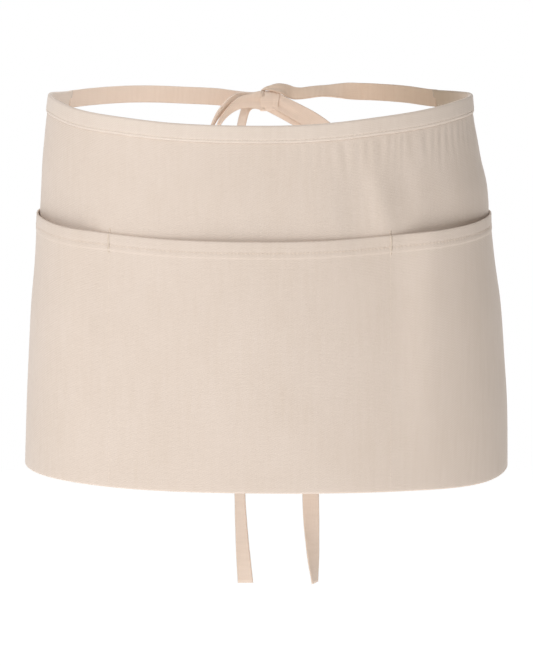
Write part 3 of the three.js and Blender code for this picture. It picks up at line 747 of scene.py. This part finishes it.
RIGHT_LOOP = (
    (0.06, -1.5, -0.055, (0.5, 0, 0.86), 0, -0.32, 0.95),
    (0.19, -1.55, -0.125, (0.5, 0, 0.86), 0, -0.31, 1),
    (0.31, -1.6, -0.19, (0.51, 0, 0.86), 0, -0.29, 1.02),
    (0.43, -1.8, -0.265, (0.53, -0.05, 0.84), 0.015, -0.27, 1.02),
    (0.55, -2.1, -0.355, (0.62, -0.2, 0.75), 0.045, -0.25, 1),
    (0.64, -2.4, -0.465, (0.72, -0.45, 0.5), 0.09, -0.22, 1),
    (0.69, -2.6, -0.6, (0.7, -0.65, 0.28), 0.14, -0.18, 1),
    (0.705, -2.7, -0.75, (0.65, -0.75, 0.1), 0.16, -0.12, 1),
    (0.705, -2.7, -0.88, (0.62, -0.78, 0), 0.13, -0.06, 1),
    (0.7, -2.7, -0.97, (0.6, -0.8, 0), 0, 0, 1),
)


CLOSING = 0.9  # share of a loop's length where its two strands start to close


def bow_loop(scene, form, name, node, side, table, tucks, seed):
    """Loop of tape: one strand out from the knot in front of its middle line, and back behind it.

    The tucks are how far the front and the back strand run into the knot."""
    base = form.knot_face(side)
    middles = [base + Vector((row[0] * form.loop, row[1] * form.layer, row[2] * form.loop))
               for row in table]
    acrosses = [Vector(row[3]) for row in table]
    shares = [(i, *row[4:]) for i, row in enumerate(table)]
    count = 50

    def strand(face):
        out = []
        for i in range(count):
            t = math.sin(math.pi / 2 * i / count) * 0.999
            along = (centripetal(middles, min(t + 0.001, 1)) - centripetal(middles, max(t - 0.001, 0)))
            along.normalize()
            across = centripetal(acrosses, t).normalized()
            across = (across - across.dot(along) * along).normalized()
            normal = along.cross(across)
            row = t * (len(table) - 1)
            opening = from_table(shares, 1, row) * form.loop
            shut = math.sqrt(max(0, 1 - (max(t - CLOSING, 0) / (1 - CLOSING)) ** 2))
            middle = centripetal(middles, t) + normal * (face * (form.layer * shut + opening) / 2)
            if face < 0:
                middle += across * (from_table(shares, 2, row) * form.tape)
            out.append((middle, across, from_table(shares, 3, row)))
        return out

    tip = (centripetal(middles, 1), centripetal(acrosses, 1).normalized(), 1)
    front, back = (from_knot(form, side, strand(face), tuck) for face, tuck in zip((1, -1), tucks))
    return tape_piece(scene, form, name, [*front, tip, *reversed(back)], node, 0.4 * MM, seed,
                      creased=(0, 1))


# Place from the knot's face in tape widths, layers back and shares of the drop, direction across,
# share of the width
LEFT_END = (
    (0, 1.04, 0, (-0.05, 0, 1), 0.7), (-0.36, 1.1, 0.001, (-0.1, 0.1, 1), 0.75),
    (-0.6, 1.75, 0.006, (-0.2, 0.35, 0.9), 0.8), (-0.8, 2.65, 0.016, (-0.3, 0.7, 0.65), 0.85),
    (-0.96, 2.75, 0.032, (-0.38, 0.87, 0.3), 0.95), (-1.09, 2.45, 0.053, (-0.42, 0.9, 0.1), 1),
    (-1.16, 2.15, 0.086, (-0.41, 0.91, 0), 1), (-1.19, 2.15, 0.167, (-0.41, 0.91, 0), 1),
    (-1.21, 2.08, 0.31, (-0.43, 0.9, 0), 1), (-1.22, 2, 0.48, (-0.48, 0.88, 0), 1),
    (-1.21, 1.92, 0.657, (-0.53, 0.85, 0), 1), (-1.17, 1.92, 0.827, (-0.6, 0.8, 0), 1),
    (-1.03, 1.92, 0.92, (-0.75, 0.66, 0), 1), (-0.85, 1.92, 1, (-0.9, 0.43, 0), 1),
)
RIGHT_END = (
    (0, 1.04, 0.004, (0.3, 0, 0.95), 0.75), (0.36, 1.08, 0.01, (0.45, 0, 0.9), 0.8),
    (0.73, 1.15, 0.023, (0.58, 0, 0.8), 0.85), (1.26, 1.3, 0.046, (0.75, 0.05, 0.6), 0.95),
    (1.61, 1.54, 0.074, (0.92, 0.08, 0.3), 1), (1.77, 1.77, 0.112, (1, 0.08, 0.08), 1),
    (1.82, 1.92, 0.189, (1, 0.05, 0), 1), (1.85, 1.92, 0.332, (1, 0.02, 0), 1),
    (1.85, 1.92, 0.502, (1, 0.02, 0), 1), (1.82, 1.92, 0.669, (1, 0.08, 0), 1),
    (1.78, 1.92, 0.827, (0.98, 0.2, 0), 1), (1.9, 1.92, 0.925, (0.75, 0.66, 0), 1),
    (2.04, 1.92, 1, (0.34, 0.94, 0), 1),
)


def tie_end(scene, form, name, node, side, table, seed):
    base = form.knot_face(side)
    rows = [(base + Vector((x * form.tape, y * form.layer, -z * form.drop)), across, wide)
            for x, y, z, across, wide in table]
    stations = from_knot(form, side, stations_through(rows, 160), 2 * MM)
    piece = tape_piece(scene, form, name, stations, node, 0.3 * MM, seed, creased=(0,))
    route = [station[0] for station in stations]
    run = sum((b - a).length for a, b in zip(route, route[1:]))
    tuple(route[0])


KNOT_PROUD = 1.1  # the turn's depth, as a share of the solid's
KNOT_SLANT = 0.17  # how far the turn's right edge leans in, for each length down
KNOT_SQUARED = 0.8  # power that makes its round section squarer


def build_knot(scene):
    """The turn of tape round the crossing: a barrel spun from its outline, squared and creased."""
    form = Form(scene)
    bm = bmesh.new()
    half, rim = form.knot_length / 2, 1.2 * MM
    outline = [(0, -half + 1.5 * MM), (0.7, -half + 0.8 * MM), (0.93, -half), (0.985, -half + rim * 0.5),
               (1, -half + rim), (1.0, -half / 2), (0.99, 0), (1.0, half / 2), (1, half - rim),
               (0.985, half - rim * 0.5), (0.93, half), (0.7, half - 0.8 * MM), (0, half - 1.5 * MM)]
    verts = [bm.verts.new((x, 0, radius)) for radius, x in outline]
    edges = [bm.edges.new(pair) for pair in zip(verts, verts[1:])]
    bmesh.ops.spin(bm, geom=[*verts, *edges], cent=(0, 0, 0), axis=(1, 0, 0), angle=2 * math.pi,
                   steps=72, use_merge=True, use_duplicate=False)
    bmesh.ops.remove_doubles(bm, verts=bm.verts, dist=1e-6)
    long_edges = [e for e in bm.edges if abs(e.verts[0].co.x - e.verts[1].co.x) > MM]
    bmesh.ops.subdivide_edges(bm, edges=long_edges, cuts=3)
    uv = bm.loops.layers.uv.verify()
    for face in bm.faces:
        for loop in face.loops:
            co = loop.vert.co
            loop[uv].uv = (math.atan2(co.y, co.z) * form.knot_height / 2, co.x)
    depth, height = KNOT_PROUD * form.knot_depth / 2, form.knot_height / 2
    for vert in bm.verts:
        x, y, z = vert.co
        radius, turn = math.hypot(y, z), math.atan2(y, z)
        s, c = math.sin(turn), math.cos(turn)
        crease = noise.noise(Vector((x / (4 * MM), c * 0.6, s * 0.6)))
        size = radius * (1 - 0.06 * abs(crease))
        z = math.copysign(abs(c) ** KNOT_SQUARED, c) * height * size
        y = math.copysign(abs(s) ** KNOT_SQUARED, s) * depth * size
        if x > 0:
            x -= KNOT_SLANT * (height - z) * x / half
        vert.co = (x, y, z)
    bmesh.ops.translate(bm, verts=bm.verts, vec=form.knot)
    bmesh.ops.recalc_face_normals(bm, faces=bm.faces)
    return finish_piece("knot", bm, tape_material(scene), node=["bow_knot"])


# Stitching

def stitch_line(scene, name, points, thread, proud=0.2, flat=1):
    """Row of stitches along (point, outward) pairs, each a low grain of thread."""
    bm = bmesh.new()
    for (a, out), (b, _) in zip(points[::2], points[1::2]):
        along = b - a
        x = along.normalized()
        z = (out - out.dot(x) * x).normalized()
        y = z.cross(x)
        turn = Matrix((x, y, z)).transposed().to_4x4()
        size = Matrix.Diagonal((along.length / 2, thread / 2, thread / 2 * flat, 1))
        where = Matrix.Translation((a + b) / 2 + z * thread * proud)
        bmesh.ops.create_icosphere(bm, subdivisions=1, radius=1, matrix=where @ turn @ size)
    return finish_piece(name, bm, thread_material(scene))


def seam_points(sizes, start, end, place):
    """Ends of each stitch from start to end of a run, by place(run), which gives point and outward."""
    count = max(1, round(abs(end - start) / sizes.pitch))
    step = (end - start) / count
    share = sizes.stitch / sizes.pitch
    points = []
    for i in range(count):
        points += [place(start + i * step), place(start + (i + share) * step)]
    return points


BARTACK = (4 * MM, 19 * MM, 2.2 * MM)  # start above the pocket's mouth, length and width
SIDE_HEM = 7 * MM  # from a side edge to its row of stitches


def build_seams(scene):
    form, sizes = Form(scene), scene.apron_stitches
    inset = 3 * MM
    ends = form.left + inset, form.right - inset

    def on_panel(arc, down, stand, side=1):
        return form.cloth_at(arc, down, side * stand), side * form.outward(form.body, arc, down)

    def on_pocket(arc, down, lift):
        if down < form.mouth:
            return on_panel(arc, down, form.cloth / 2)
        return on_panel(arc, down, form.pocket_stand(arc, down) + lift)

    low = form.binding - BINDING_SEAM / form.long
    stand = form.binding_radius - BINDING_DENT + 0.35 * form.binding_wall
    for name, side in (("binding_stitching", 1), ("binding_inner_stitching", -1)):
        run = seam_points(sizes, *ends, lambda arc: on_panel(arc, low, stand, side))
        stitch_line(scene, name, run, sizes.thread)

    hem = form.mouth + (form.pocket_hem - POCKET_SEAM) / form.long
    run = seam_points(sizes, *ends, lambda arc: on_pocket(arc, hem, form.cloth - 0.1 * MM))
    stitch_line(scene, "pocket_hem_stitching", run, sizes.thread)
    above, tall, wide = BARTACK
    for name, divider in (("left", form.left_divider), ("right", form.right_divider)):
        start = form.mouth * form.long - above + tall
        run = seam_points(sizes, start, (form.end - 0.005) * form.long,
                          lambda run: on_pocket(divider, run / form.long, form.cloth / 2))
        stitch_line(scene, f"{name}_divider_stitching", run, sizes.thread, proud=-0.2)
        # Bartack: close satin stitches over the seam's top end, from the panel down the pocket
        tack = []
        for run in steps(form.mouth * form.long - above, start, round(tall / sizes.thread)):
            down = run / form.long
            lift = form.cloth if down < hem + POCKET_SEAM / form.long else form.cloth / 2
            tack += [on_pocket(divider + way * wide / 2, down, lift) for way in (-1, 1)]
        stitch_line(scene, f"{name}_bartack", tack, 1.3 * sizes.thread, proud=0.3, flat=0.5)
    for name, edge in (("left", form.left + SIDE_HEM), ("right", form.right - SIDE_HEM)):
        def side_place(run):
            down = run / form.long
            in_hem = down < form.mouth + form.pocket_hem / form.long
            return on_pocket(edge, down, form.cloth if in_hem else form.cloth / 2)
        run = seam_points(sizes, (form.binding + 0.01) * form.long, (form.end - 0.01) * form.long,
                          side_place)
        stitch_line(scene, f"{name}_side_stitching", run, sizes.thread)


# Stage

def aimed_lamp(scene, light, where, aim):
    """A lamp with the given light, turned from its place to what it lights."""
    lamp = bpy.data.objects.new(light.name, light)
    scene.collection.objects.link(lamp)
    lamp.location = where
    lamp.rotation_euler = (aim - Vector(where)).to_track_quat("-Z", "Y").to_euler()


def build_stage(scene):
    sizes = scene.apron_stage
    data = bpy.data.cameras.new("camera")
    camera = bpy.data.objects.new("camera", data)
    scene.collection.objects.link(camera)
    forward = Vector((0, math.cos(sizes.elevation), -math.sin(sizes.elevation)))
    aim = Vector((sizes.aim_right, 0, -sizes.aim_down))
    camera.location = aim - forward * sizes.distance
    camera.rotation_euler = forward.to_track_quat("-Z", "Y").to_euler()
    data.sensor_fit = "AUTO"
    data.sensor_width = 36
    data.lens = data.sensor_width * sizes.distance / (sizes.pixel * sizes.picture_height)
    data.clip_end = 50
    scene.camera = camera

    bm = bmesh.new()
    bmesh.ops.create_grid(bm, x_segments=8, y_segments=8, size=6)
    bmesh.ops.translate(bm, verts=bm.verts, vec=(0, 0, -1.1))
    mesh = bpy.data.meshes.new("floor")
    bm.to_mesh(mesh)
    bm.free()
    floor = bpy.data.objects.new("floor", mesh)
    scene.collection.objects.link(floor)
    material, tree, shader = new_material("pale_floor")
    place = add(tree, "ShaderNodeTexCoord")
    mottle = add(tree, "ShaderNodeTexNoise", [(place.outputs["Object"], "Vector")], in_Scale=3)
    tone = add(tree, "ShaderNodeMapRange", [(mottle.outputs["Fac"], "Value")], in_To_Min=0.9,
               in_To_Max=0.94)
    tree.links.new(tone.outputs[0], shader.inputs["Base Color"])
    shader.inputs["Roughness"].default_value = 0.9
    # Opal sheet lit from below, as a pack shot's table is
    shader.inputs["Emission Color"].default_value = (1, 1, 1, 1)
    shader.inputs["Emission Strength"].default_value = 0.71
    mesh.materials.append(material)

    # Soft studio: brighter from the left and the front than from the right, on a white backdrop
    world = bpy.data.worlds.new("studio")
    scene.world = world
    world.use_nodes = True
    tree = world.node_tree
    place = add(tree, "ShaderNodeTexCoord")
    part = add(tree, "ShaderNodeSeparateXYZ", [(place.outputs["Generated"], 0)])
    sideways = add(tree, "ShaderNodeMapRange", [(part.outputs[0], "Value")], in_From_Min=-1,
                   in_To_Min=1, in_To_Max=0.14)
    frontal = add(tree, "ShaderNodeMapRange", [(part.outputs[1], "Value")], in_From_Min=-1,
                  in_From_Max=0.4, in_To_Min=0.8, in_To_Max=0.4)
    around = add(tree, "ShaderNodeMath", [(sideways.outputs[0], 0), (frontal.outputs[0], 1)],
                 operation="MULTIPLY")
    backdrop = add(tree, "ShaderNodeMapRange", [(part.outputs[1], "Value")], in_From_Min=0.9,
                   in_From_Max=0.96)
    strength = add(tree, "ShaderNodeMath", [(around.outputs[0], 0), (backdrop.outputs[0], 1)],
                   operation="MAXIMUM")
    # The right side is lit by light off a warm wall
    warmth = add(tree, "ShaderNodeMapRange", [(part.outputs[0], "Value")], in_From_Min=0.15)
    tint = add(tree, "ShaderNodeMix", [(warmth.outputs[0], 0)], data_type="RGBA")
    tint.inputs[6].default_value = (1, 1, 1, 1)
    tint.inputs[7].default_value = (1, 0.92, 0.77, 1)
    back = tree.nodes["Background"]
    tree.links.new(tint.outputs[2], back.inputs["Color"])
    tree.links.new(strength.outputs[0], back.inputs["Strength"])
    # Name, place, watts, size
    for name, where, power, size in (
        ("key", (-1.05, -2.8, 1.35), 34, 1.6),
        ("top", (0, 0.4, 2.6), 16, 2.4),
        ("back", (0.7, 2.7, 0.9), 26, 2),
    ):
        light = bpy.data.lights.new(name, "AREA")
        light.energy, light.size = power, size
        aimed_lamp(scene, light, where, aim)
    # A narrow light over the top edge reaches the left tie, which the panel shades
    light = bpy.data.lights.new("inner", "SPOT")
    light.energy, light.color = 4.5, (0.88, 0.95, 1)
    light.spot_size, light.spot_blend, light.shadow_soft_size = math.radians(24), 0.9, 30 * MM
    aimed_lamp(scene, light, (0.3, -0.1, 0.42), Vector((-0.13, 0.06, -0.01)))
    scene.view_settings.view_transform = "Standard"


# Operators

class APRON_OT_stage(bpy.types.Operator):
    """Make the camera, lights and floor."""
    bl_idname = "apron.stage"
    bl_label = "Stage"

    def execute(self, context):
        build_stage(context.scene)
        return {"FINISHED"}


class APRON_OT_tie_ends(bpy.types.Operator):
    """Make the two free ends that hang from the bow."""
    bl_idname = "apron.tie_ends"
    bl_label = "Tie ends"

    def execute(self, context):
        form = Form(context.scene)
        tie_end(context.scene, form, "left_tie_end", "tie_end_left", -1, LEFT_END, 5)
        tie_end(context.scene, form, "right_tie_end", "tie_end_right", 1, RIGHT_END, 6)
        return {"FINISHED"}


class APRON_OT_panel(bpy.types.Operator):
    """Make the panel of cloth."""
    bl_idname = "apron.panel"
    bl_label = "Panel"

    def execute(self, context):
        build_panel(context.scene)
        return {"FINISHED"}


class APRON_OT_pocket(bpy.types.Operator):
    """Make the pocket's cloth with its hems."""
    bl_idname = "apron.pocket"
    bl_label = "Pocket"

    def execute(self, context):
        build_pocket(context.scene)
        return {"FINISHED"}


class APRON_OT_binding(bpy.types.Operator):
    """Make the binding folded over the top edge."""
    bl_idname = "apron.binding"
    bl_label = "Binding"

    def execute(self, context):
        build_binding(context.scene)
        return {"FINISHED"}


class APRON_OT_ties(bpy.types.Operator):
    """Make the two ties round the back of the waist."""
    bl_idname = "apron.ties"
    bl_label = "Ties"

    def execute(self, context):
        form = Form(context.scene)
        left_tie(context.scene, form)
        right_tie(context.scene, form)
        return {"FINISHED"}


class APRON_OT_bow(bpy.types.Operator):
    """Make the bow: its knot and two loops."""
    bl_idname = "apron.bow"
    bl_label = "Bow"

    def execute(self, context):
        form = Form(context.scene)
        build_knot(context.scene)
        bow_loop(context.scene, form, "left_loop", "bow_loop_left", -1, LEFT_LOOP, (4 * MM, 4 * MM), 3)
        bow_loop(context.scene, form, "right_loop", "bow_loop_right", 1, RIGHT_LOOP, (5 * MM, 11 * MM), 4)
        return {"FINISHED"}


class APRON_OT_seams(bpy.types.Operator):
    """Sew the rows of stitches and the bartacks."""
    bl_idname = "apron.seams"
    bl_label = "Stitching"

    def execute(self, context):
        build_seams(context.scene)
        return {"FINISHED"}


STEPS = ("stage", "tie_ends", "panel", "pocket", "binding", "ties", "bow", "seams")


class APRON_PT_panel(bpy.types.Panel):
    bl_label = "Waist apron"
    bl_idname = "APRON_PT_panel"
    bl_space_type = "VIEW_3D"
    bl_region_type = "UI"
    bl_category = "Apron"

    def draw(self, context):
        for group in ("apron_cut", "apron_ties", "apron_stitches", "apron_colours", "apron_stage"):
            box = self.layout.box()
            for name in getattr(context.scene, group).__annotations__:
                box.prop(getattr(context.scene, group), name)
        for step in STEPS:
            self.layout.operator(f"apron.{step}")


GROUPS = {"apron_cut": ApronCut, "apron_ties": TieSizes, "apron_stitches": StitchSizes,
          "apron_colours": ApronColours, "apron_stage": StageSizes}
CLASSES = (*GROUPS.values(), APRON_OT_stage, APRON_OT_tie_ends, APRON_OT_panel, APRON_OT_pocket,
           APRON_OT_binding, APRON_OT_ties, APRON_OT_bow, APRON_OT_seams, APRON_PT_panel)


def register():
    for cls in CLASSES:
        bpy.utils.register_class(cls)
    for name, group in GROUPS.items():
        setattr(bpy.types.Scene, name, PointerProperty(type=group))


def unregister():
    for name in GROUPS:
        delattr(bpy.types.Scene, name)
    for cls in reversed(CLASSES):
        bpy.utils.unregister_class(cls)


def main():
    register()
    for step in STEPS:
        getattr(bpy.ops.apron, step)()


if __name__ == "__main__":
    main()
